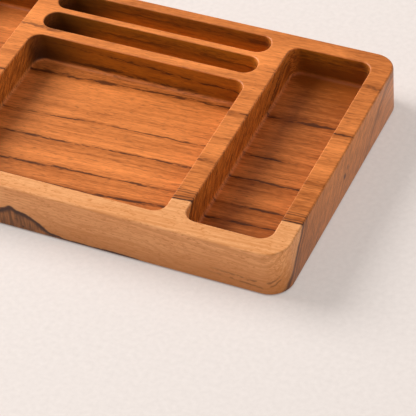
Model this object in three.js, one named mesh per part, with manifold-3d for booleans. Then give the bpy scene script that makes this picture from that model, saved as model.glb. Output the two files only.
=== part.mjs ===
// Desk organizer tray: one hardwood plank milled into pockets, standing on four thin stick-on pads.
// Millimetres, +Z up, +X along the length, front towards -Y, origin under the middle of the base.
import * as THREE from 'three';
import Module from 'manifold-3d';
import { mergeVertices } from 'three/addons/utils/BufferGeometryUtils.js';

const wasm = await Module();
wasm.setup();

// Plank
const TRAY_DEPTH = 150.8;
const PLANK_THICKNESS = 25.7;
const CORNER_RADIUS = 11.5;
const TOP_EDGE_RADIUS = 1.0;
const BOTTOM_EDGE_RADIUS = 0.6;

// Layout along the length, from either end to the middle
const END_RIM = 10.5;
const END_POCKET_WIDTH = 43.7;
const DIVIDER = 10.4;
const CENTRE_WIDTH = 118.6;

// Layout across the depth, from front to back
const FRONT_RIM = 9.8;
const CENTRE_POCKET_DEPTH = 98.8;
const BRIDGE_BEFORE_SLOTS = 6.3;
const SLOT_WIDTH = 13.1;
const BRIDGE_BETWEEN_SLOTS = 3.8;
const END_POCKET_DEPTH = 132.2;

// Milling: one half-inch cutter with a rounded nose, then the rims are sanded over
const POCKET_DEPTH = 16.5;
const POCKET_CORNER_RADIUS = 6.35;
const FLOOR_COVE_RADIUS = 2.0;
const RIM_EDGE_RADIUS = 0.8;
const CUTTER_OVERRUN = 2;

// Pads
const PAD_RADIUS = 7;
const PAD_HEIGHT = 0.7;
const PAD_EDGE = 0.15;
const PAD_INSET = 19;

// Smoothness of the curves
const CORNER_STEPS = 7;
const SLOT_END_STEPS = 9;
const EDGE_STEPS = 3;
const COVE_STEPS = 3;
const PAD_SIDES = 40;

const TRAY_LENGTH = CENTRE_WIDTH + 2 * (DIVIDER + END_POCKET_WIDTH + END_RIM);
const BASE_Z = PAD_HEIGHT;
const TOP_Z = BASE_Z + PLANK_THICKNESS;
const FLOOR_Z = TOP_Z - POCKET_DEPTH;

const teak = new THREE.MeshStandardMaterial({ color: '#c8783c', roughness: 0.5, metalness: 0 });
const padRubber = new THREE.MeshStandardMaterial({ color: '#2b2826', roughness: 0.85, metalness: 0 });

// One level of a loft: a rounded rectangle grown by `grow` (or shrunk, if negative) at height z.
function roundedRectangle({ width, depth, radius, steps }, grow, z) {
  const reachX = width / 2 - radius;
  const reachY = depth / 2 - radius;
  const corners = [[1, 1], [-1, 1], [-1, -1], [1, -1]];
  return corners.flatMap(([signX, signY], quarter) => {
    const arc = new THREE.EllipseCurve(
      signX * reachX, signY * reachY, radius + grow, radius + grow,
      quarter * Math.PI / 2, (quarter + 1) * Math.PI / 2);
    return arc.getPoints(steps).map(({ x, y }) => new THREE.Vector3(x, y, z));
  });
}

// Closed solid through rounded rectangles stacked from bottom to top, with flat ends.
function loft(outline, levels) {
  const rings = levels.map(({ grow, z }) => roundedRectangle(outline, grow, z));
  const count = rings[0].length;
  const points = rings.flat();
  const index = [];
  for (let level = 0; level < rings.length - 1; level += 1) {
    for (let i = 0; i < count; i += 1) {
      const low = level * count + i;
      const lowNext = level * count + (i + 1) % count;
      index.push(low, lowNext, lowNext + count, low, lowNext + count, low + count);
    }
  }
  const topRing = (rings.length - 1) * count;
  for (let i = 1; i < count - 1; i += 1) {
    index.push(0, i + 1, i);
    index.push(topRing, topRing + i, topRing + i + 1);
  }
  const geometry = new THREE.BufferGeometry().setFromPoints(points);
  geometry.setIndex(index);
  return geometry;
}

// Levels along a quarter circle: `place` turns the angle into a grow and a height.
function quarterRound(steps, place) {
  return Array.from({ length: steps + 1 }, (_, i) => place(i / steps * Math.PI / 2));
}

// The blank: a plank with rounded upright corners and sanded top and bottom edges.
function plankBlank() {
  const outline = {
    width: TRAY_LENGTH, depth: TRAY_DEPTH, radius: CORNER_RADIUS, steps: CORNER_STEPS,
  };
  const bottomEdge = quarterRound(EDGE_STEPS, (angle) => ({
    grow: BOTTOM_EDGE_RADIUS * (Math.sin(angle) - 1),
    z: BASE_Z + BOTTOM_EDGE_RADIUS * (1 - Math.cos(angle)),
  }));
  const topEdge = quarterRound(EDGE_STEPS, (angle) => ({
    grow: TOP_EDGE_RADIUS * (Math.cos(angle) - 1),
    z: TOP_Z + TOP_EDGE_RADIUS * (Math.sin(angle) - 1),
  }));
  return loft(outline, [...bottomEdge, ...topEdge]);
}

// What the cutter takes out for one pocket: coved floor, straight wall, rounded rim.
function pocketCut(centreX, frontY, outline) {
  const cove = quarterRound(COVE_STEPS, (angle) => ({
    grow: FLOOR_COVE_RADIUS * (Math.sin(angle) - 1),
    z: FLOOR_Z + FLOOR_COVE_RADIUS * (1 - Math.cos(angle)),
  }));
  const rim = quarterRound(EDGE_STEPS, (angle) => ({
    grow: RIM_EDGE_RADIUS * (1 - Math.cos(angle)),
    z: TOP_Z + RIM_EDGE_RADIUS * (Math.sin(angle) - 1),
  }));
  const overrun = { grow: RIM_EDGE_RADIUS, z: TOP_Z + CUTTER_OVERRUN };
  const geometry = loft(outline, [...cove, ...rim, overrun]);
  geometry.translate(centreX, frontY + outline.depth / 2, 0);
  return geometry;
}

function toSolid(geometry) {
  const bare = geometry.clone();
  bare.deleteAttribute('normal');
  bare.deleteAttribute('uv');
  const merged = mergeVertices(bare, 1e-5);
  return new wasm.Manifold(new wasm.Mesh({
    numProp: 3,
    vertProperties: new Float32Array(merged.attributes.position.array),
    triVerts: new Uint32Array(merged.index.array),
  }));
}

function toGeometry(solid) {
  const { vertProperties, triVerts } = solid.getMesh();
  const geometry = new THREE.BufferGeometry();
  geometry.setAttribute('position', new THREE.BufferAttribute(vertProperties, 3));
  geometry.setIndex(new THREE.BufferAttribute(triVerts, 1));
  geometry.computeVertexNormals();
  return geometry;
}

function trayBody() {
  const pocketFrontY = FRONT_RIM - TRAY_DEPTH / 2;
  const frontSlotY = pocketFrontY + CENTRE_POCKET_DEPTH + BRIDGE_BEFORE_SLOTS;
  const rearSlotY = frontSlotY + SLOT_WIDTH + BRIDGE_BETWEEN_SLOTS;
  const endPocketX = TRAY_LENGTH / 2 - END_RIM - END_POCKET_WIDTH / 2;

  const square = { radius: POCKET_CORNER_RADIUS, steps: CORNER_STEPS };
  const centrePocket = { ...square, width: CENTRE_WIDTH, depth: CENTRE_POCKET_DEPTH };
  const endPocket = { ...square, width: END_POCKET_WIDTH, depth: END_POCKET_DEPTH };
  const penSlot = {
    width: CENTRE_WIDTH, depth: SLOT_WIDTH, radius: SLOT_WIDTH / 2, steps: SLOT_END_STEPS,
  };

  const cuts = [
    pocketCut(0, pocketFrontY, centrePocket),
    pocketCut(0, frontSlotY, penSlot),
    pocketCut(0, rearSlotY, penSlot),
    pocketCut(-endPocketX, pocketFrontY, endPocket),
    pocketCut(endPocketX, pocketFrontY, endPocket),
  ];
  const milled = cuts.reduce((wood, cut) => wood.subtract(toSolid(cut)), toSolid(plankBlank()));
  const mesh = new THREE.Mesh(toGeometry(milled), teak);
  mesh.name = 'tray_body';
  return mesh;
}

// A die-cut disc with a slightly broken lower edge, turned so that its axis is upright.
function padGeometry() {
  const profile = [
    new THREE.Vector2(0, 0),
    new THREE.Vector2(PAD_RADIUS - PAD_EDGE, 0),
    new THREE.Vector2(PAD_RADIUS, PAD_EDGE),
    new THREE.Vector2(PAD_RADIUS, PAD_HEIGHT),
    new THREE.Vector2(0, PAD_HEIGHT),
  ];
  return new THREE.LatheGeometry(profile, PAD_SIDES).rotateX(Math.PI / 2);
}

function pads() {
  const reachX = TRAY_LENGTH / 2 - PAD_INSET;
  const reachY = TRAY_DEPTH / 2 - PAD_INSET;
  const group = new THREE.Group();
  for (const [row, signY] of [['front', -1], ['rear', 1]]) {
    for (const [side, signX] of [['left', -1], ['right', 1]]) {
      const pad = new THREE.Mesh(padGeometry(), padRubber);
      pad.name = `pad_${row}_${side}`;
      pad.position.set(signX * reachX, signY * reachY, 0);
      group.add(pad);
    }
  }
  return group;
}

const tray = new THREE.Group();
tray.add(trayBody(), pads());

export default tray;
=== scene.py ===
import math

import bmesh
import bpy
from mathutils import Matrix, Quaternion, Vector


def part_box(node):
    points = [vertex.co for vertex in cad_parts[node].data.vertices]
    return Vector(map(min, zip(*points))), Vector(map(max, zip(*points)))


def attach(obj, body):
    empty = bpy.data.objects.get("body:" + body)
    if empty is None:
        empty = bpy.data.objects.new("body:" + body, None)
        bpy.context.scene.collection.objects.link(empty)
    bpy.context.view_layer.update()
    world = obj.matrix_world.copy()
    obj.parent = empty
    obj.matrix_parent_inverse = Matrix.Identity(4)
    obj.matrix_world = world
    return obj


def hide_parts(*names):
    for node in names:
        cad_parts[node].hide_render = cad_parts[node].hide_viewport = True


# Desk organizer tray: one plank of oiled teak, milled into pockets, on four stick-on pads.
# Metres, +Z up, +X along the length, front towards -Y, origin under the middle of the base.
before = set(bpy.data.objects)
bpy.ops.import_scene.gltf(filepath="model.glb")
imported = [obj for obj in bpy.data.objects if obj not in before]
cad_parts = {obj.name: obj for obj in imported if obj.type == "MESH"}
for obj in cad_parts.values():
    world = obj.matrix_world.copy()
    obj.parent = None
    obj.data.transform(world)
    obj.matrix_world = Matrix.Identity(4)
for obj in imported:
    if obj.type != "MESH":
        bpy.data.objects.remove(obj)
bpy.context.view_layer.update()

MM = 0.001
PER_METRE = 1000

# The plank's box and the pads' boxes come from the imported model
TRAY_LOW, TRAY_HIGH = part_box("tray_body")
PAD_NODES = ["pad_front_left", "pad_front_right", "pad_rear_left", "pad_rear_right"]
PAD_LOW, PAD_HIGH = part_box("pad_rear_right")
TRAY_LENGTH = TRAY_HIGH.x - TRAY_LOW.x
TRAY_DEPTH = TRAY_HIGH.y - TRAY_LOW.y
BASE_Z = TRAY_LOW.z
TOP_Z = TRAY_HIGH.z

# Plank edges
CORNER_RADIUS = 11.5 * MM
TOP_EDGE_RADIUS = 1.0 * MM
BOTTOM_EDGE_RADIUS = 0.6 * MM

# Layout along the length, from either end to the middle
END_RIM = 10.5 * MM
END_POCKET_WIDTH = 43.7 * MM
DIVIDER = 10.4 * MM
CENTRE_WIDTH = TRAY_LENGTH - 2 * (END_RIM + END_POCKET_WIDTH + DIVIDER)

# Layout across the depth, from front to back
FRONT_RIM = 9.8 * MM
CENTRE_POCKET_DEPTH = 98.8 * MM
BRIDGE_BEFORE_SLOTS = 6.3 * MM
SLOT_WIDTH = 13.1 * MM
BRIDGE_BETWEEN_SLOTS = 3.8 * MM
END_POCKET_DEPTH = 132.2 * MM

# Milling: one cutter with a rounded nose, then the rims are sanded over
POCKET_DEPTH = 16.5 * MM
POCKET_CORNER_RADIUS = 6.35 * MM
FLOOR_COVE_RADIUS = 2.0 * MM
RIM_EDGE_RADIUS = 0.8 * MM
FLOOR_Z = TOP_Z - POCKET_DEPTH
# A slot's end is a half circle, short of it by a hair so that the floor inside it has no crossing
SLOT_END_RADIUS = SLOT_WIDTH / 2 - 0.1 * MM

# Each rounded edge runs on this far into the flat next to it, so that the flat is shaded as one
FLAT_MARGIN = 0.35 * MM
WELD_DISTANCE = 0.005 * MM
CORNER_STEPS = 20
EDGE_STEPS = 7

# Pads
PAD_RADIUS = (PAD_HIGH.x - PAD_LOW.x) / 2
PAD_HEIGHT = PAD_HIGH.z - PAD_LOW.z
PAD_EDGE = 0.15 * MM
PAD_PLACE = (PAD_LOW + PAD_HIGH) / 2
PAD_SIDES = 64
PAD_RIM_STEPS = 12
PAD_FILL_STEPS = 6

# Camera, as fitted to the photograph's edges: a long lens, slightly rolled
CAMERA_TARGET = Vector((78.43, -55.73, 26.58)) * MM
CAMERA_DISTANCE = 999 * MM
CAMERA_AZIMUTH = math.radians(27.99)
CAMERA_ELEVATION = math.radians(43.26)
CAMERA_ROLL = math.radians(-5.51)
CAMERA_FIELD = math.radians(11)

# Light: a soft lamp to the left and a little behind, and the room's even light
LAMP_DIRECTION = Vector((-0.80, 0.10, 0.575)).normalized()
LAMP_DISTANCE = 2.4
LAMP_SIZE = 1.6
LAMP_POWER = 78
ROOM_COLOUR = "#fffaf5"
WALL_LEVEL = 0.45
CEILING_LEVEL = 0.20
RIGHT_LEVEL = 0.4

# Paper: its side, its colours, its grain in millimetres, and the share of it that glows, from just
# inside the tray's outline to just outside it
FLOOR_SIDE = 8.0
PAPER_DARK, PAPER_LIGHT = "#e9dfd9", "#f9efe9"
PAPER_GRAIN = 2.5
PAPER_DETAIL = 3.0
FLOOR_GLOW = 0.45
GLOW_START, GLOW_FULL = -1.5 * MM, 0.3 * MM

# Relief and refraction of the wood and of the rubber
RELIEF = {"Strength": 0.4, "Distance": 0.05 * MM}
SURFACE_IOR = 1.5

# Rubber: its colours, and its pebble in millimetres
RUBBER_DARK, RUBBER_LIGHT = "#22201e", "#353230"
RUBBER_ROUGHNESS = 0.8
PEBBLE_SIZE = 0.5
PEBBLE_DETAIL = 2.0


def linear(hex_colour):
    """The linear RGBA of an sRGB colour written as "#rrggbb"."""
    channels = [int(hex_colour[i:i + 2], 16) / 255 for i in (1, 3, 5)]
    return (*(c / 12.92 if c <= 0.04045 else ((c + 0.055) / 1.055) ** 2.4 for c in channels), 1)


def add(tree, kind, inputs=None, **settings):
    """Adds a node: sets its properties, links the inputs that are sockets and sets the others."""
    node = tree.nodes.new(kind)
    for name, value in settings.items():
        setattr(node, name, value)
    for name, value in (inputs or {}).items():
        sources = value if isinstance(value, list) else [value]
        for source in sources:
            if isinstance(source, bpy.types.NodeSocket):
                tree.links.new(source, node.inputs[name])
            else:
                node.inputs[name].default_value = source
    return node


def gather(tree, values, operation):
    """All values joined from first to last by one operation, such as ADD or MAXIMUM."""
    total = values[0]
    for value in values[1:]:
        total = add(tree, "ShaderNodeMath", {0: total, 1: value}, operation=operation).outputs[0]
    return total


def new_geometry_tree(name, sizes):
    """A geometry tree with named inputs, given as {name: socket type}, and a geometry output."""
    tree = bpy.data.node_groups.new(name, "GeometryNodeTree")
    for size, kind in sizes.items():
        tree.interface.new_socket(size, in_out="INPUT", socket_type="NodeSocket" + kind)
    tree.interface.new_socket("Geometry", in_out="OUTPUT", socket_type="NodeSocketGeometry")
    return tree, add(tree, "NodeGroupInput").outputs


# Shapes

def milled_edge_tree():
    """One pass of the cutter: a profile of flat, wall and flat with two rounded edges, run round
    a rounded rectangle. The flat at the low end is filled: a pocket's floor or the underside."""
    tree, size = new_geometry_tree("milled_edge", {
        "Width": "Float", "Depth": "Float", "Corner Radius": "Float", "Place": "Vector",
        "Low Z": "Float", "High Z": "Float", "Low Run": "Float", "High Run": "Float",
        "Low Radius": "Float", "High Radius": "Float"})

    ends = [("Low Run", "Low Z"), (None, "Low Z"), (None, "High Z"), ("High Run", "High Z")]
    points = {}
    for number, (run, level) in enumerate(ends, start=1):
        spot = add(tree, "ShaderNodeCombineXYZ", {"Y": size[level]})
        if run:
            tree.links.new(size[run], spot.inputs["X"])
        points[f"Point {number}"] = spot.outputs[0]
    bent = add(tree, "GeometryNodeCurvePrimitiveQuadrilateral", points, mode="POINTS")
    bent = add(tree, "GeometryNodeSetSplineCyclic", {
        "Geometry": bent.outputs[0], "Cyclic": False})
    is_low = add(tree, "FunctionNodeCompare", {
        2: add(tree, "GeometryNodeInputIndex").outputs[0], 3: 1},
        data_type="INT", operation="EQUAL")
    radius = add(tree, "GeometryNodeSwitch", {
        "Switch": is_low.outputs[0], "False": size["High Radius"], "True": size["Low Radius"]},
        input_type="FLOAT")
    profile = add(tree, "GeometryNodeFilletCurve", {
        "Curve": bent.outputs[0], "Count": EDGE_STEPS, "Radius": radius.outputs[0]}, mode="POLY")
    # Curve to Mesh lays a profile's y axis downwards, so the profile is turned over first
    profile = add(tree, "GeometryNodeTransform", {
        "Geometry": profile.outputs[0], "Scale": (1, -1, 1)})

    outline = add(tree, "GeometryNodeCurvePrimitiveQuadrilateral", {
        "Width": size["Width"], "Height": size["Depth"]}, mode="RECTANGLE")
    outline = add(tree, "GeometryNodeFilletCurve", {
        "Curve": outline.outputs[0], "Count": CORNER_STEPS, "Radius": size["Corner Radius"]},
        mode="POLY")
    outline = add(tree, "GeometryNodeSetCurveNormal", {"Curve": outline.outputs[0]}, mode="Z_UP")
    wall = add(tree, "GeometryNodeCurveToMesh", {
        "Curve": outline.outputs[0], "Profile Curve": profile.outputs[0]})

    flat = filled_level(tree, wall.outputs[0], size["Low Z"], "NGONS")
    both = add(tree, "GeometryNodeJoinGeometry", {"Geometry": [wall.outputs[0], flat.outputs[0]]})
    placed = add(tree, "GeometryNodeTransform", {
        "Geometry": both.outputs[0], "Translation": size["Place"]})
    add(tree, "NodeGroupOutput", {"Geometry": placed.outputs[0]})
    return tree


def filled_level(tree, geometry, level, mode):
    """The flat that closes an open mesh at one height."""
    sides = add(tree, "GeometryNodeInputMeshEdgeNeighbors")
    is_open = add(tree, "FunctionNodeCompare", {
        2: sides.outputs[0], 3: 1}, data_type="INT", operation="EQUAL")
    height = add(tree, "ShaderNodeSeparateXYZ", {
        0: add(tree, "GeometryNodeInputPosition").outputs[0]})
    is_level = add(tree, "FunctionNodeCompare", {
        0: height.outputs["Z"], 1: level, "Epsilon": WELD_DISTANCE},
        data_type="FLOAT", operation="EQUAL")
    chosen = add(tree, "FunctionNodeBooleanMath", {
        0: is_open.outputs[0], 1: is_level.outputs[0]}, operation="AND")
    edge = add(tree, "GeometryNodeMeshToCurve", {
        "Mesh": geometry, "Selection": chosen.outputs[0]})
    # Fill Curve lays its flat at height 0
    flat = add(tree, "GeometryNodeFillCurve", {"Curve": edge.outputs[0]}, mode=mode)
    lift = add(tree, "ShaderNodeCombineXYZ", {"Z": level})
    return add(tree, "GeometryNodeSetPosition", {
        "Geometry": flat.outputs[0], "Offset": lift.outputs[0]})


def milled_tray_tree():
    """The plank's sides and its pockets, each one pass of the cutter, and the top between them."""
    tree, size = new_geometry_tree("milled_tray", {
        "Base Z": "Float", "Floor Z": "Float", "Top Z": "Float", "Length": "Float",
        "Depth": "Float", "Corner Radius": "Float", "Bottom Edge": "Float", "Top Edge": "Float",
        "Floor Cove": "Float", "Rim Edge": "Float", "Wood": "Material"})
    edge = milled_edge_tree()

    plank = add(tree, "GeometryNodeGroup", {
        "Width": size["Length"], "Depth": size["Depth"], "Corner Radius": size["Corner Radius"],
        "Low Z": size["Base Z"], "Low Radius": size["Bottom Edge"],
        "Low Run": -(BOTTOM_EDGE_RADIUS + FLAT_MARGIN),
        "High Z": size["Top Z"], "High Radius": size["Top Edge"],
        "High Run": -(TOP_EDGE_RADIUS + FLAT_MARGIN)}, node_tree=edge)
    pockets = []
    for place, width, depth, radius in pocket_plan():
        pocket = add(tree, "GeometryNodeGroup", {
            "Width": width, "Depth": depth, "Corner Radius": radius, "Place": place,
            "Low Z": size["Floor Z"], "Low Radius": size["Floor Cove"],
            "Low Run": -(FLOOR_COVE_RADIUS + FLAT_MARGIN),
            "High Z": size["Top Z"], "High Radius": size["Rim Edge"],
            "High Run": RIM_EDGE_RADIUS + FLAT_MARGIN}, node_tree=edge)
        pockets.append(pocket.outputs[0])

    # How upright a pocket's surface is, how far the plank's surface faces backwards or down, and
    # how far any surface cuts across the grain. The plank's faces still point inwards here
    normal = add(tree, "ShaderNodeSeparateXYZ", {
        0: add(tree, "GeometryNodeInputNormal").outputs[0]}).outputs
    flatness = add(tree, "ShaderNodeMath", {0: normal["Z"]}, operation="ABSOLUTE").outputs[0]
    upright = gather(tree, [1, flatness], "SUBTRACT")
    backward = gather(tree, [normal["Y"], -1], "MULTIPLY")
    away = gather(tree, [backward, normal["Z"]], "MAXIMUM")
    across = add(tree, "ShaderNodeMath", {0: normal["X"]}, operation="ABSOLUTE").outputs[0]
    plank = add(tree, "GeometryNodeStoreNamedAttribute", {
        "Geometry": plank.outputs[0], "Name": "back_or_base", "Value": away})
    milled = add(tree, "GeometryNodeJoinGeometry", {"Geometry": pockets})
    milled = add(tree, "GeometryNodeStoreNamedAttribute", {
        "Geometry": milled.outputs[0], "Name": "pocket_wall", "Value": upright})
    milled = add(tree, "GeometryNodeJoinGeometry", {
        "Geometry": [plank.outputs[0], milled.outputs[0]]})
    milled = add(tree, "GeometryNodeStoreNamedAttribute", {
        "Geometry": milled.outputs[0], "Name": "end_grain", "Value": across})

    top = filled_level(tree, milled.outputs[0], size["Top Z"], "TRIANGLES")
    whole = add(tree, "GeometryNodeJoinGeometry", {
        "Geometry": [milled.outputs[0], top.outputs[0]]})
    whole = add(tree, "GeometryNodeMergeByDistance", {
        "Geometry": whole.outputs[0], "Distance": WELD_DISTANCE})
    whole = add(tree, "GeometryNodeSetShadeSmooth", {"Geometry": whole.outputs[0]})
    whole = add(tree, "GeometryNodeRealizeInstances", {"Geometry": whole.outputs[0]})
    whole = add(tree, "GeometryNodeSetMaterial", {
        "Geometry": whole.outputs[0], "Material": size["Wood"]})
    add(tree, "NodeGroupOutput", {"Geometry": whole.outputs[0]})
    return tree


def pocket_plan():
    """Place, width, depth and corner radius of each pocket, seen from above."""
    front_y = TRAY_LOW.y + FRONT_RIM
    front_slot_y = front_y + CENTRE_POCKET_DEPTH + BRIDGE_BEFORE_SLOTS
    rear_slot_y = front_slot_y + SLOT_WIDTH + BRIDGE_BETWEEN_SLOTS
    end_x = TRAY_HIGH.x - END_RIM - END_POCKET_WIDTH / 2
    plan = [(0, front_y, CENTRE_WIDTH, CENTRE_POCKET_DEPTH, POCKET_CORNER_RADIUS),
            (0, front_slot_y, CENTRE_WIDTH, SLOT_WIDTH, SLOT_END_RADIUS),
            (0, rear_slot_y, CENTRE_WIDTH, SLOT_WIDTH, SLOT_END_RADIUS),
            (-end_x, front_y, END_POCKET_WIDTH, END_POCKET_DEPTH, POCKET_CORNER_RADIUS),
            (end_x, front_y, END_POCKET_WIDTH, END_POCKET_DEPTH, POCKET_CORNER_RADIUS)]
    return [((x, y + depth / 2, 0), width, depth, radius) for x, y, width, depth, radius in plan]


def stick_on_pads_tree():
    """Four die-cut discs, one under each corner, with a softly rounded rim."""
    tree, size = new_geometry_tree("stick_on_pads", {
        "Reach X": "Float", "Reach Y": "Float", "Radius": "Float", "Height": "Float",
        "Edge": "Float", "Rubber": "Material"})
    disc = add(tree, "GeometryNodeMeshCylinder", {
        "Vertices": PAD_SIDES, "Side Segments": PAD_RIM_STEPS, "Fill Segments": PAD_FILL_STEPS,
        "Radius": size["Radius"], "Depth": size["Height"]}, fill_type="TRIANGLE_FAN")

    # How far a point of the side lies in the rounded part of the rim, from 0 to 1
    place = add(tree, "GeometryNodeInputPosition").outputs[0]
    height = add(tree, "ShaderNodeSeparateXYZ", {0: place}).outputs["Z"]
    height = add(tree, "ShaderNodeMath", {0: height}, operation="ABSOLUTE").outputs[0]
    half = gather(tree, [size["Height"], 0.5], "MULTIPLY")
    straight = gather(tree, [half, size["Edge"]], "SUBTRACT")
    turn = add(tree, "ShaderNodeMapRange", {
        "Value": height, "From Min": straight, "From Max": half}).outputs[0]
    # The rim's quarter circle draws the point in by edge * (1 - sqrt(1 - turn^2))
    rest = gather(tree, [1, gather(tree, [turn, turn], "MULTIPLY")], "SUBTRACT")
    root = add(tree, "ShaderNodeMath", {0: rest}, operation="SQRT").outputs[0]
    drawn = gather(tree, [gather(tree, [1, root], "SUBTRACT"), size["Edge"]], "MULTIPLY")
    share = gather(tree, [drawn, size["Radius"]], "DIVIDE")
    pull = add(tree, "ShaderNodeCombineXYZ", {"X": share, "Y": share}).outputs[0]
    pull = add(tree, "ShaderNodeVectorMath", {0: place, 1: pull}, operation="MULTIPLY").outputs[0]
    lift = add(tree, "ShaderNodeCombineXYZ", {"Z": half}).outputs[0]
    shift = add(tree, "ShaderNodeVectorMath", {0: lift, 1: pull}, operation="SUBTRACT").outputs[0]
    disc = add(tree, "GeometryNodeSetPosition", {
        "Geometry": disc.outputs["Mesh"], "Offset": shift})

    corners = add(tree, "GeometryNodeMeshGrid", {
        "Size X": gather(tree, [size["Reach X"], 2], "MULTIPLY"),
        "Size Y": gather(tree, [size["Reach Y"], 2], "MULTIPLY"),
        "Vertices X": 2, "Vertices Y": 2})
    pads = add(tree, "GeometryNodeInstanceOnPoints", {
        "Points": corners.outputs["Mesh"], "Instance": disc.outputs[0]})
    pads = add(tree, "GeometryNodeRealizeInstances", {"Geometry": pads.outputs[0]})
    pads = add(tree, "GeometryNodeSetShadeSmooth", {"Geometry": pads.outputs[0]})
    pads = add(tree, "GeometryNodeSetMaterial", {
        "Geometry": pads.outputs[0], "Material": size["Rubber"]})
    add(tree, "NodeGroupOutput", {"Geometry": pads.outputs[0]})
    return tree


def grown_piece(name, tree, sizes):
    """A plain mesh object made by a geometry tree, with `sizes` as its named inputs."""
    piece = bpy.data.objects.new(name, bpy.data.meshes.new(name))
    bpy.context.scene.collection.objects.link(piece)
    grower = piece.modifiers.new(name, "NODES")
    grower.node_group = tree
    for socket in tree.interface.items_tree:
        if socket.in_out == "INPUT":
            grower[socket.identifier] = sizes[socket.name]
    bpy.context.view_layer.update()
    shape = piece.evaluated_get(bpy.context.evaluated_depsgraph_get())
    mesh = bpy.data.meshes.new_from_object(shape)
    piece.modifiers.remove(grower)
    piece.data = mesh
    mesh.name = name

    shell = bmesh.new()
    shell.from_mesh(mesh)
    bmesh.ops.recalc_face_normals(shell, faces=shell.faces)
    shell.to_mesh(mesh)
    shell.free()
    return piece


# Oiled teak, milled and sanded: an orange-brown heartwood in long bands, thin dark mineral lines
# that follow the growth rings, a pale sapwood edge, fine open pores along the grain, and a satin
# shine. The wood is solid: every face cuts through the same rings, so the figure runs on over the
# edges. Its sizes are in millimetres, and a ring is told by its height, as if the rings were
# stacked upright. The numbers below are of four kinds:
# - a wave is its length along the grain, its width across it, and how far it sways;
# - a noise is its patches' length along the grain, their width across it, its detail and its seed,
#   and it is turned into a value by a span: start, end, value at the start, value at the end;
# - a line is the height of its ring, its reach to either side, and its strength;
# - a slope is a place in the wood and a span there, and slopes in a list are multiplied.
GRAIN_TURN = math.radians(-3.15)
TREE_HEART_Y = 63.8
RING_STEEPNESS = 1.65
RING_ROUNDING = 60
RING_DETAIL = 2.0
RING_WAVES = [(120, 30, 3.0), (30, 8, 0.8)]
LINE_WAVE = (3.0, 1.6, 0.8)
MINERAL_WAVE = (7.0, 3.5, 1.0)
WAVE_DETAIL, WAVE_SEED = 1.0, 1.3
FLOOR_LEVEL = -POCKET_DEPTH * PER_METRE

# The heartwood swells up the front face, left of the middle, and to the right it runs out along
# the bottom edge
FRONT_FACE = [("across", -134, -127, 1, 0), ("up", -12, -2, 1, 0)]
SWELL_SIDES = [("along", -17.9, 7.5, 1, 0), ("along", -42.5, -22, 0, 1)]
SWELL_HEIGHT = 11.1
SWELL_PEAK = (-21.4, 3.5, 1.3)
RUN_OUT_RISES = [("along", -3, 4, 0, 2.6), ("along", 4, 56, 0, 4.3)]
RUN_OUT_END = [("along", 42, 68, 1, 0)]

# Sapwood lies outside one ring, which wanders, and leans towards the right end
SAPWOOD_START, SAPWOOD_WANDER, SAPWOOD_BLUR = 224.5, 1.2, 0.4
WANDER_NOISE = (40, 12, 2.0, 5.0)
WANDER_SPAN = (0.25, 0.75, SAPWOOD_START - SAPWOOD_WANDER, SAPWOOD_START + SAPWOOD_WANDER)
SAPWOOD_LEAN = [("along", 100, 116, 0, 1), ("up", -20, 0, 2.4, -1.4)]
# From where to where a face that turns across the grain comes to count as end grain
CUT_ACROSS = (0.3, 0.9)

# Mineral lines: ring height, half width, strength at the top, on upright faces and on floors
MINERAL_LINES = [
    (93.2, 1.0, 0.0, 1.9, 0.0), (96.2, 2.4, 0.0, 1.0, 0.2), (99.6, 1.2, 0.0, 0.1, 1.05),
    (105.2, 0.8, 0.85, 0.8, 0.0), (131.6, 0.8, 0.0, 0.2, 0.85), (137.4, 0.8, 1.15, 0.3, 0.0),
    (152.7, 1.2, 0.1, 0.5, 1.0), (178.6, 1.2, 0.0, 0.2, 0.9), (183.0, 1.4, 0.6, 0.3, 0.0),
    (195.6, 1.6, 0.1, 0.3, 1.0)]
FACE_MARGIN = 2.5
# Their dark core and the brown haze beside it: reach in half widths, strength. Both fade towards
# the back
LINE_CORE, LINE_HAZE = (1.2, 1.0), (3.5, 0.3)
LINE_FADE = [("across", -20, -15, 1, 0.45)]
BREADTH_NOISE, BREADTH_SPAN = (18, 5, 2.0, 8.4), (0.3, 0.7, 0.6, 1.5)
BREAK_NOISE, BREAK_SPAN = (12, 2, 3.0, 3.3), (0.38, 0.56, 0.3, 1)
# The haze and the pores are fainter on the tray's ends
ON_OUTER_END = [("outer_end", 0, 1, 1, 0.4)]

# The sapwood's dark border, broader on the swelling and on the right end, and fainter lines
# inside it, all told from the sapwood's start
SAPWOOD_BORDER = (-0.4, 1.5, 1.0)
BORDER_BREADTHS = [("hill", 0, 0.5, 1, 2.0), ("outer_end", 0, 1, 1, 2.7)]
BORDER_TRIM = [("beyond", 0.2, 1, 1, 0)]
BORDER_ON_END = [("outer_end", 0, 1, 1, 0.8)]
INNER_LINES = [(-3.0, 1.1, 0.8), (-7.8, 1.0, 0.7), (-9.8, 0.9, 0.65), (-13.5, 0.8, 0.35)]
OFF_THE_HILL = [("hill", 0, 0.3, 1, 0)]
# Lines in the sapwood: one along the top of the front edge, two round the right front corner
SAPWOOD_LINE = (251.5, 1.8, 0.55)
CORNER_LINES = [(240.6, 1.2, 0.55), (237.8, 1.1, 0.5)]
CORNER_REACH = [("along", 70, 105, 0, 1), ("up", -18, -12, 1, 0)]
CORNER_NOISE, CORNER_SPAN = (4, 2, 2.0, 16.8), (0.42, 0.58, 0, 1)
# A dark arc on the right end
ARC_LINE = (97.5, 3.4, 0.5)
ARC_REACH = [("up", -22, -12, 0.3, 1)]

# Pin knots: where they come out of the front and the right end, in the tray's frame, radius,
# strength
PIN_KNOTS = [((-11.6, -75.4, 2.7), 1.0, 0.9), ((123.9, 0.1, 12.2), 2.4, 0.85),
             ((123.9, 4.1, 14.9), 2.2, 0.5)]
KNOT_CORE = 0.2

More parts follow.
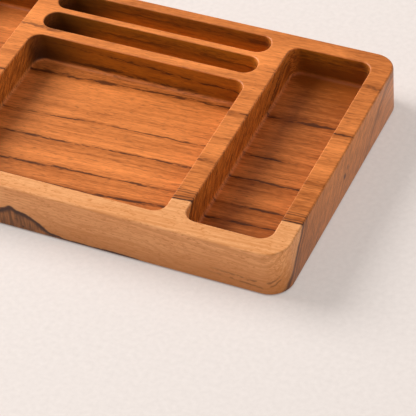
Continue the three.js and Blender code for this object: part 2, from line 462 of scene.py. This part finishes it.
# Pores, as noise and strength: short open vessels, drawn coarser than the real 0.2 mm ones so
# that they show. A mineral line is where nearly all are filled, so it is made of dashes too
PORES = [((4, 0.55, 2.0, 6.1), 0.48), ((11, 0.9, 2.0, 11.0), 0.4)]
PORE_SPAN = (0.56, 0.73, 0, 1)
# How far a line adds to the noise, and how strong the pores get in a line of what strength
LINE_FILLING = 0.27
FILLED_PORE, FULL_LINE = 0.85, 0.7
PORE_SHARE = [("in_sapwood", 0, 1, 1, 0.1), ("across", -45, -5, 1, 0.6), *ON_OUTER_END]
# Painted shade in the left nooks of the slots and of the centre pocket's back wall
NOOK_SHADE = [("pocket_wall", 0.1, 0.6, 0, 1), ("along", -66, -61, 0, 1), ("along", -60, -14, 0.95, 0),
         ("across", -42, -29, 0, 1), ("up", -12, -1, 1, 0.75)]

# Tone from dark to light: wide and thin bands of the rings, fibres and mottling, with weights
TONE_LEVEL = 0.58
RING_TONES = [("ring", 11, 0.68), ("ragged", 2.2, 0.45)]
GRAIN_TONES = [((32, 1.5, 2.0, 7.7), 0.5), ((14, 1.0, 2.0, 12.5), 0.6),
               ((4, 0.75, 2.0, 2.2), 0.7), ((40, 16, 1.0, 9.9), 0.6)]
# The back and the underside are of even tone. Below the top the tone is darker in the end pockets
# and paler in the slots, and painted shade darkens the right pocket's back, low down
EVEN = ("back_or_base", 0.5, 0.9, 1, 0)
BELOW = [EVEN, ("up", FLOOR_LEVEL, -2, 1, 0)]
ABOVE = ("up", -8, -2, 0, 1)
IN_HEARTWOOD = ("in_sapwood", 0, 1, 1, 0)
DARKER = {
    "right pocket": [*BELOW, ("along", 64, 90, 0, 1), ("across", -70, 0, 0.3, 0.45)],
    # painted shade, low at the back of the right pocket
    "right pocket's back": [EVEN, ("up", -12, -4, 1, 0), ("along", 60, 75, 0, 1),
                            ("across", -35, -2, 0, 0.38)],
    "left pocket": [*BELOW, ("along", -75, -60, 0.3, 0)],
    "back rim": [ABOVE, ("across", -4, 6, 0, 0.12)],
    "right rim": [ABOVE, ("along", 95, 110, 0, 0.16), ("across", -60, -20, 0.45, 1)],
    "outer rings": [IN_HEARTWOOD, ("ring", 165, 210, 0, 0.2)],
    "last rings before the sapwood": [IN_HEARTWOOD, ("beyond", -11, -3, 0, 0.22)]}
PALER_SLOTS = [*BELOW, ("across", -14, 2, 0, 0.4), ("along", -66, -61, 0, 1),
               ("along", 55, 65, 1, 0)]
PALE_BAND = (-18, 18, 0.3)
PALE_BAND_END = [("along", 60, 90, 1, 0)]
BRIGHT_RING = (157, 5, 0.22)
# Across the grain the fibres are cut off, and short streaks along the rings show instead
CUT_NOISE, CUT_SPAN = (4, 1.1, 3.0, 14.2), (0.34, 0.66, -0.1, 1.1)
CUT_SHARE = [("end_grain", *CUT_ACROSS, 0, 0.7)]

# Colours. The right end is dark at the front and pale at the back
HEARTWOOD_DARK, HEARTWOOD_LIGHT = "#a25419", "#fd974c"
END_FRONT, END_MIDDLE, END_BACK = "#94602c", "#cc8644", "#e3a376"
TO_END_MIDDLE = [("across", -125, -80, 0, 1)]
TO_END_BACK = [("across", -60, 5, 0, 1)]
END_SHARE = [("outer_end", 0, 1, 0, 0.45)]
# Where the heartwood swells it is grey-brown, with upright streaks
SWELL_DARK, SWELL_LIGHT = "#724522", "#ac6c38"
SWELL_NOISE, SWELL_SPAN = (1.3, 9, 2.0, 4.4), (0.35, 0.65, 0, 1)
SWELL_SHARE = [("hill", 0.05, 0.3, 0, 1)]
# The sapwood is flecked, and shades off to tan downwards
SAPWOOD_DARK, SAPWOOD_LIGHT, SAPWOOD_FLECK, SAPWOOD_FOOT = (
    "#e29456", "#feb97d", "#cf803f", "#b9702d")
FLECK_NOISES = [((8, 0.7, 3.0, 13.1), (0.45, 0.7, 0, 0.6)),
                ((2.2, 0.8, 2.0, 15.6), (0.5, 0.7, 0, 0.8))]
FLECK_RINGS, FLECK_RING_SPAN = 2.6, (0.45, 0.7, 0, 0.45)
FOOT_SHARE = [("up", -26, -3, 0.66, 0)]
# Near black brown of the lines, pores, arc and knots, and of the painted shade in the nooks
LINE_AND_SHADE_BROWN = "#421d08"
# Painted shade on the pocket walls: a darker tint, most of all along the grain, and up to the
# sanded rims. The cutter leaves the pocket walls rough
POCKET_SHADE_TINT = "#cbd15a"
POCKET_SHADE_SHARE = [("pocket_wall", 0.2, 1, 0, 1), ("end_grain", 0.2, 0.9, 1, 0.6),
             ("in_sapwood", 0, 1, 1, 0.45), ("up", -0.7, -0.3, 1, 0)]
ROUGHNESS = [("pocket_wall", 0, 0.5, 0.4, 0.6)]
SPECULAR_LEVEL = 0.32


def grain_noise(tree, grain, length, width, detail, seed):
    """Noise with patches `length` along the grain and `width` across it."""
    stretched = add(tree, "ShaderNodeVectorMath", {
        0: grain, 1: (1 / length, 1 / width, 1 / width)}, operation="MULTIPLY")
    return add(tree, "ShaderNodeTexNoise", {
        "Vector": stretched.outputs[0], "W": seed, "Scale": 1.0, "Detail": detail},
        noise_dimensions="4D").outputs[0]


def ring_noise(tree, ring, width):
    """Noise that is the same all along a ring, in bands `width` apart."""
    return add(tree, "ShaderNodeTexNoise", {
        "W": ring, "Scale": 1 / width, "Detail": RING_DETAIL}, noise_dimensions="1D").outputs[0]


def peak(tree, value, centre, reach, height):
    """A bump of `height` where `value` is at `centre`, down to 0 at `reach` from it."""
    off = gather(tree, [value, centre], "SUBTRACT")
    off = add(tree, "ShaderNodeMath", {0: off}, operation="ABSOLUTE").outputs[0]
    return ramp(tree, off, 0, reach, height, 0)


def ramp(tree, value, start, end, low, high):
    """`value` from `start` to `end` turned smoothly into `low` to `high`."""
    return add(tree, "ShaderNodeMapRange", {
        "Value": value, "From Min": start, "From Max": end, "To Min": low, "To Max": high},
        interpolation_type="SMOOTHSTEP").outputs[0]


def sloped(tree, places, slopes):
    """The product of slopes, each given as (place, start, end, low, high)."""
    return gather(tree, [ramp(tree, places[name], *span) for name, *span in slopes], "MULTIPLY")


def strongest(tree, value, lines):
    """The strongest of several lines at `value`, each given as (centre, reach, strength)."""
    return gather(tree, [peak(tree, value, *line) for line in lines], "MAXIMUM")


def swayed(tree, ring, grain, waves):
    """The rings made wavy."""
    parts = [ring]
    for number, (length, width, sway) in enumerate(waves):
        noise = grain_noise(tree, grain, length, width, WAVE_DETAIL, WAVE_SEED + number)
        parts.append(add(tree, "ShaderNodeMapRange", {
            "Value": noise, "To Min": -sway, "To Max": sway}).outputs[0])
    return gather(tree, parts, "ADD")


def painted(tree, ground, coats):
    """Coats laid over a ground, each given as the share that it covers and its colour."""
    for share, colour in coats:
        ground = add(tree, "ShaderNodeMix", {
            0: share, 6: ground, 7: colour}, data_type="RGBA").outputs[2]
    return ground


def new_material(name):
    """A material with an empty tree of nodes."""
    material = bpy.data.materials.new(name)
    material.use_nodes = True
    material.node_tree.nodes.clear()
    return material, material.node_tree


def grain_place(spot):
    """A spot given in the tray's frame, in millimetres, as the wood's material counts it."""
    turned = Matrix.Rotation(GRAIN_TURN, 3, "Z") @ Vector(spot)
    return turned - Vector((0, TREE_HEART_Y, TOP_Z * PER_METRE))


def wood_places(tree):
    """Where a point lies in the wood: its spot in the grain, and its places by name."""
    # Millimetres: x along the grain, y across it from the tree's heart, z up from the tray's top
    grain = add(tree, "ShaderNodeMapping", {
        "Vector": add(tree, "ShaderNodeTexCoord").outputs["Object"],
        "Scale": (PER_METRE,) * 3, "Rotation": (0, 0, GRAIN_TURN),
        "Location": (0, -TREE_HEART_Y, -TOP_Z * PER_METRE)}).outputs[0]
    axes = add(tree, "ShaderNodeSeparateXYZ", {0: grain}).outputs
    places = {"along": axes["X"], "across": axes["Y"], "up": axes["Z"]}
    for name in ("pocket_wall", "end_grain", "back_or_base"):
        places[name] = add(tree, "ShaderNodeAttribute", attribute_name=name).outputs["Fac"]

    # Growth rings: arches round the heart that steepen towards the front
    square = add(tree, "ShaderNodeMath", {
        0: axes["Y"], 1: axes["Y"], 2: RING_ROUNDING ** 2}, operation="MULTIPLY_ADD").outputs[0]
    spread = add(tree, "ShaderNodeMath", {0: square}, operation="SQRT").outputs[0]
    ring = add(tree, "ShaderNodeMath", {
        0: spread, 1: RING_STEEPNESS, 2: axes["Z"]}, operation="MULTIPLY_ADD").outputs[0]
    ring = swayed(tree, ring, grain, RING_WAVES)

    # The heartwood swells out on the front face, and the rings above it bend round it
    front = sloped(tree, places, FRONT_FACE)
    hill = gather(tree, [front, sloped(tree, places, SWELL_SIDES)], "MULTIPLY")
    tip = gather(tree, [front, peak(tree, places["along"], *SWELL_PEAK)], "MULTIPLY")
    rises = gather(tree, [sloped(tree, places, [rise]) for rise in RUN_OUT_RISES], "ADD")
    run_out = gather(tree, [front, rises, sloped(tree, places, RUN_OUT_END)], "MULTIPLY")
    swell = gather(tree, [gather(tree, [hill, SWELL_HEIGHT], "MULTIPLY"), tip, run_out], "ADD")
    ring = gather(tree, [ring, swell], "SUBTRACT")
    ragged = swayed(tree, ring, grain, [LINE_WAVE])

    wander = ramp(tree, grain_noise(tree, grain, *WANDER_NOISE), *WANDER_SPAN)
    start = gather(tree, [wander, sloped(tree, places, SAPWOOD_LEAN)], "ADD")
    beyond = gather(tree, [ragged, start], "SUBTRACT")
    outer_end = add(tree, "ShaderNodeMath", {
        0: ramp(tree, places["end_grain"], *CUT_ACROSS, 0, 1), 1: places["pocket_wall"]},
        operation="SUBTRACT", use_clamp=True).outputs[0]
    places.update(hill=hill, ring=ring, ragged=ragged, beyond=beyond, outer_end=outer_end,
                  in_sapwood=ramp(tree, beyond, -SAPWOOD_BLUR, SAPWOOD_BLUR, 0, 1))
    return grain, places


def mineral_lines(tree, grain, places):
    """Dark mineral lines, broad in one place and broken in another, and the haze beside them."""
    breadth = ramp(tree, grain_noise(tree, grain, *BREADTH_NOISE), *BREADTH_SPAN)
    fade = sloped(tree, places, LINE_FADE)
    wavy = swayed(tree, places["ragged"], grain, [MINERAL_WAVE])
    cores, hazes = [], []
    for height, half_width, at_top, at_face, at_floor in MINERAL_LINES:
        strength = gather(tree, [
            ramp(tree, places["up"], FLOOR_LEVEL, FLOOR_LEVEL + FACE_MARGIN, at_floor, at_face),
            ramp(tree, places["up"], -FACE_MARGIN, 0, 0, at_top - at_face)], "ADD")
        strength = gather(tree, [strength, fade], "MULTIPLY")
        narrowed = gather(tree, [gather(tree, [wavy, height], "SUBTRACT"), breadth], "DIVIDE")
        for group, (reach, share) in ((cores, LINE_CORE), (hazes, LINE_HAZE)):
            bump = peak(tree, narrowed, 0, reach * half_width, share)
            group.append(gather(tree, [bump, strength], "MULTIPLY"))
    breaks = ramp(tree, grain_noise(tree, grain, *BREAK_NOISE), *BREAK_SPAN)
    lines = gather(tree, [gather(tree, cores, "MAXIMUM"), breaks], "MULTIPLY")
    haze = gather(tree, hazes, "MAXIMUM")
    return lines, gather(tree, [haze, sloped(tree, places, ON_OUTER_END)], "MULTIPLY")


def dark_marks(tree, grain, places, mineral):
    """What is near black: the sapwood's lines, the pores, an arc, painted shade in the nooks and
    the knots.
    """
    ragged, beyond, outer_end = places["ragged"], places["beyond"], places["outer_end"]
    breadths = [sloped(tree, places, [breadth]) for breadth in BORDER_BREADTHS]
    widened = gather(tree, [beyond, gather(tree, breadths, "MAXIMUM")], "DIVIDE")
    trim = gather(tree, [sloped(tree, places, BORDER_TRIM), outer_end], "MAXIMUM")
    corner = ramp(tree, grain_noise(tree, grain, *CORNER_NOISE), *CORNER_SPAN)
    products = [
        [peak(tree, widened, *SAPWOOD_BORDER), sloped(tree, places, BORDER_ON_END), trim],
        [strongest(tree, beyond, INNER_LINES), sloped(tree, places, OFF_THE_HILL)],
        [strongest(tree, ragged, CORNER_LINES), sloped(tree, places, CORNER_REACH), corner],
        [outer_end, peak(tree, ragged, *ARC_LINE), sloped(tree, places, ARC_REACH)],
        # painted shade in the left nooks
        [sloped(tree, places, NOOK_SHADE)]]

    pores = []
    for noise, depth in PORES:
        filled = add(tree, "ShaderNodeMath", {
            0: mineral, 1: LINE_FILLING, 2: grain_noise(tree, grain, *noise)},
            operation="MULTIPLY_ADD").outputs[0]
        pores.append(gather(tree, [
            ramp(tree, filled, *PORE_SPAN),
            ramp(tree, mineral, 0, FULL_LINE, depth, FILLED_PORE)], "MULTIPLY"))
    products.append([gather(tree, pores, "MAXIMUM"), sloped(tree, places, PORE_SHARE)])

    marks = [gather(tree, product, "MULTIPLY") for product in products]
    for spot, radius, strength in PIN_KNOTS:
        off = add(tree, "ShaderNodeVectorMath", {
            0: grain, 1: grain_place(spot)}, operation="DISTANCE").outputs["Value"]
        marks.append(ramp(tree, off, KNOT_CORE * radius, radius, strength, 0))
    return gather(tree, marks, "MAXIMUM")


def wood_tone(tree, grain, places, haze):
    """The wood's tone, from 0 where it is dark to 1 where it is light."""
    noises = [(ring_noise(tree, places[name], width), weight)
              for name, width, weight in RING_TONES]
    noises += [(grain_noise(tree, grain, *noise), weight) for noise, weight in GRAIN_TONES]
    parts = [add(tree, "ShaderNodeMapRange", {
        "Value": noise, "To Min": -weight / 2, "To Max": weight / 2}, clamp=False).outputs[0]
        for noise, weight in noises]
    tone = gather(tree, [*parts, TONE_LEVEL], "ADD")

    darker = [haze, *(sloped(tree, places, slopes) for slopes in DARKER.values())]
    band = peak(tree, places["across"], *PALE_BAND)
    bright = peak(tree, places["ring"], *BRIGHT_RING)
    paler = [sloped(tree, places, PALER_SLOTS),
             gather(tree, [band, sloped(tree, places, PALE_BAND_END)], "MULTIPLY"),
             gather(tree, [bright, sloped(tree, places, [ABOVE])], "MULTIPLY")]
    shade = gather(tree, [gather(tree, darker, "ADD"), gather(tree, paler, "ADD")], "SUBTRACT")
    tone = add(tree, "ShaderNodeMath", {
        0: tone, 1: shade}, operation="SUBTRACT", use_clamp=True).outputs[0]

    cut_off = add(tree, "ShaderNodeCombineXYZ", {
        "X": places["up"], "Y": places["ragged"], "Z": places["along"]}).outputs[0]
    streaked = ramp(tree, grain_noise(tree, cut_off, *CUT_NOISE), *CUT_SPAN)
    return add(tree, "ShaderNodeMix", {
        0: sloped(tree, places, CUT_SHARE), 2: tone, 3: streaked}, data_type="FLOAT").outputs[0]


def oiled_teak():
    """The wood of the tray."""
    material, tree = new_material("oiled_teak")
    grain, places = wood_places(tree)
    mineral, haze = mineral_lines(tree, grain, places)
    dark = dark_marks(tree, grain, places, mineral)
    tone = wood_tone(tree, grain, places, haze)

    cut_end = painted(tree, linear(END_FRONT), [
        (sloped(tree, places, TO_END_MIDDLE), linear(END_MIDDLE)),
        (sloped(tree, places, TO_END_BACK), linear(END_BACK))])
    streaks = ramp(tree, grain_noise(tree, grain, *SWELL_NOISE), *SWELL_SPAN)
    swollen = painted(tree, linear(SWELL_DARK), [(streaks, linear(SWELL_LIGHT))])
    heartwood = painted(tree, linear(HEARTWOOD_DARK), [
        (tone, linear(HEARTWOOD_LIGHT)), (sloped(tree, places, END_SHARE), cut_end),
        (sloped(tree, places, SWELL_SHARE), swollen)])
    flecks = gather(tree, [
        *(ramp(tree, grain_noise(tree, grain, *noise), *span) for noise, span in FLECK_NOISES),
        ramp(tree, ring_noise(tree, places["ragged"], FLECK_RINGS), *FLECK_RING_SPAN),
        peak(tree, places["ragged"], *SAPWOOD_LINE)], "MAXIMUM")
    sapwood = painted(tree, linear(SAPWOOD_DARK), [
        (tone, linear(SAPWOOD_LIGHT)), (flecks, linear(SAPWOOD_FLECK)),
        (sloped(tree, places, FOOT_SHARE), linear(SAPWOOD_FOOT))])
    wood = painted(tree, heartwood, [
        (places["in_sapwood"], sapwood), (dark, linear(LINE_AND_SHADE_BROWN))])
    # painted shade on the pocket walls
    wood = add(tree, "ShaderNodeMix", {
        0: sloped(tree, places, POCKET_SHADE_SHARE), 6: wood, 7: linear(POCKET_SHADE_TINT)},
        data_type="RGBA", blend_type="MULTIPLY").outputs[2]

    bump = add(tree, "ShaderNodeBump", {**RELIEF, "Height": tone})
    shine = add(tree, "ShaderNodeBsdfPrincipled", {
        "Base Color": wood, "Roughness": sloped(tree, places, ROUGHNESS), "IOR": SURFACE_IOR,
        "Specular IOR Level": SPECULAR_LEVEL, "Normal": bump.outputs[0]})
    add(tree, "ShaderNodeOutputMaterial", {"Surface": shine.outputs[0]})
    return material


# Moulded rubber sheet, die-cut: near black, matte, with the faint pebble of the mould.
def pad_rubber():
    """The rubber of the pads."""
    material, tree = new_material("pad_rubber")
    pebble = add(tree, "ShaderNodeTexNoise", {
        "Vector": add(tree, "ShaderNodeTexCoord").outputs["Object"],
        "Scale": PER_METRE / PEBBLE_SIZE, "Detail": PEBBLE_DETAIL}).outputs[0]
    colour = painted(tree, linear(RUBBER_DARK), [(pebble, linear(RUBBER_LIGHT))])
    bump = add(tree, "ShaderNodeBump", {**RELIEF, "Height": pebble})
    rubber = add(tree, "ShaderNodeBsdfPrincipled", {
        "Base Color": colour, "Roughness": RUBBER_ROUGHNESS, "IOR": SURFACE_IOR,
        "Normal": bump.outputs[0]})
    add(tree, "ShaderNodeOutputMaterial", {"Surface": rubber.outputs[0]})
    return material


# Matte paper under the tray: warm white, with a faint grain. What the camera sees of it glows a
# little, so that the shadow stays as pale as in the photograph, while the tray gets only the
# light that falls on it.
def studio_paper():
    """The paper that the tray stands on."""
    material, tree = new_material("studio_paper")
    spot = add(tree, "ShaderNodeTexCoord").outputs["Object"]
    fibres = add(tree, "ShaderNodeTexNoise", {
        "Vector": spot, "Scale": PER_METRE / PAPER_GRAIN, "Detail": PAPER_DETAIL}).outputs[0]
    white = painted(tree, linear(PAPER_DARK), [(fibres, linear(PAPER_LIGHT))])
    lit = add(tree, "ShaderNodeBsdfDiffuse", {"Color": white})
    glow = add(tree, "ShaderNodeEmission", {"Color": white, "Strength": 1.0})
    # Under the tray the paper has no glow, so that the gap there stays dark
    corner = Vector((TRAY_HIGH.x - CORNER_RADIUS, TRAY_HIGH.y - CORNER_RADIUS, 0))
    off = add(tree, "ShaderNodeVectorMath", {0: spot}, operation="ABSOLUTE").outputs[0]
    off = add(tree, "ShaderNodeVectorMath", {0: off, 1: corner}, operation="SUBTRACT").outputs[0]
    off = add(tree, "ShaderNodeVectorMath", {0: off, 1: (0, 0, 0)}, operation="MAXIMUM").outputs[0]
    off = add(tree, "ShaderNodeVectorMath", {0: off}, operation="LENGTH").outputs["Value"]
    share = ramp(
        tree, off, CORNER_RADIUS + GLOW_START, CORNER_RADIUS + GLOW_FULL, 0, FLOOR_GLOW)
    seen = add(tree, "ShaderNodeMixShader", {0: share, 1: lit.outputs[0], 2: glow.outputs[0]})
    rays = add(tree, "ShaderNodeLightPath").outputs
    in_view = gather(tree, [
        rays[f"Is {kind} Ray"] for kind in ("Camera", "Glossy", "Transmission")], "MAXIMUM")
    paper = add(tree, "ShaderNodeMixShader", {0: in_view, 1: lit.outputs[0], 2: seen.outputs[0]})
    add(tree, "ShaderNodeOutputMaterial", {"Surface": paper.outputs[0]})
    return material


# Pieces

tray = grown_piece("milled_tray", milled_tray_tree(), {
    "Base Z": BASE_Z, "Floor Z": FLOOR_Z, "Top Z": TOP_Z, "Length": TRAY_LENGTH,
    "Depth": TRAY_DEPTH, "Corner Radius": CORNER_RADIUS, "Bottom Edge": BOTTOM_EDGE_RADIUS,
    "Top Edge": TOP_EDGE_RADIUS, "Floor Cove": FLOOR_COVE_RADIUS, "Rim Edge": RIM_EDGE_RADIUS,
    "Wood": oiled_teak()})
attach(tray, "root")
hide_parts("tray_body")

pads = grown_piece("stick_on_pads", stick_on_pads_tree(), {
    "Reach X": PAD_PLACE.x, "Reach Y": PAD_PLACE.y, "Radius": PAD_RADIUS, "Height": PAD_HEIGHT,
    "Edge": PAD_EDGE, "Rubber": pad_rubber()})
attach(pads, "root")
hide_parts(*PAD_NODES)

# Stage, light and camera

floor_mesh = bpy.data.meshes.new("paper_floor")
reach = FLOOR_SIDE / 2
floor_mesh.from_pydata(
    [(-reach, -reach, 0), (reach, -reach, 0), (reach, reach, 0), (-reach, reach, 0)],
    [], [(0, 1, 2, 3)])
floor_mesh.materials.append(studio_paper())
paper_floor = bpy.data.objects.new("paper_floor", floor_mesh)
bpy.context.scene.collection.objects.link(paper_floor)

lamp_data = bpy.data.lights.new("soft_lamp", "AREA")
lamp_data.shape = "DISK"
lamp_data.size = LAMP_SIZE
lamp_data.energy = LAMP_POWER
lamp = bpy.data.objects.new("soft_lamp", lamp_data)
lamp.location = LAMP_DIRECTION * LAMP_DISTANCE
lamp.rotation_euler = LAMP_DIRECTION.to_track_quat("Z", "Y").to_euler()
bpy.context.scene.collection.objects.link(lamp)

room = bpy.data.worlds.new("room")
room.use_nodes = True
room.node_tree.nodes.clear()
towards = add(room.node_tree, "ShaderNodeSeparateXYZ", {
    0: add(room.node_tree, "ShaderNodeTexCoord").outputs["Generated"]}).outputs
level = gather(room.node_tree, [
    add(room.node_tree, "ShaderNodeMapRange", {
        "Value": towards["Z"], "To Min": WALL_LEVEL, "To Max": CEILING_LEVEL}).outputs[0],
    add(room.node_tree, "ShaderNodeMapRange", {
        "Value": towards["X"], "To Max": RIGHT_LEVEL}).outputs[0]], "ADD")
glow = add(room.node_tree, "ShaderNodeBackground", {
    "Color": linear(ROOM_COLOUR), "Strength": level})
add(room.node_tree, "ShaderNodeOutputWorld", {"Surface": glow.outputs[0]})
bpy.context.scene.world = room

back = Vector((math.sin(CAMERA_AZIMUTH) * math.cos(CAMERA_ELEVATION),
               -math.cos(CAMERA_AZIMUTH) * math.cos(CAMERA_ELEVATION),
               math.sin(CAMERA_ELEVATION)))
camera_data = bpy.data.cameras.new("camera")
camera_data.sensor_fit = "HORIZONTAL"
camera_data.angle = CAMERA_FIELD
camera = bpy.data.objects.new("camera", camera_data)
camera.location = CAMERA_TARGET + back * CAMERA_DISTANCE
camera.rotation_mode = "QUATERNION"
camera.rotation_quaternion = (-back).to_track_quat("-Z", "Y") @ Quaternion((0, 0, 1), CAMERA_ROLL)
bpy.context.scene.collection.objects.link(camera)
bpy.context.scene.camera = camera
bpy.context.scene.view_settings.view_transform = "Standard"
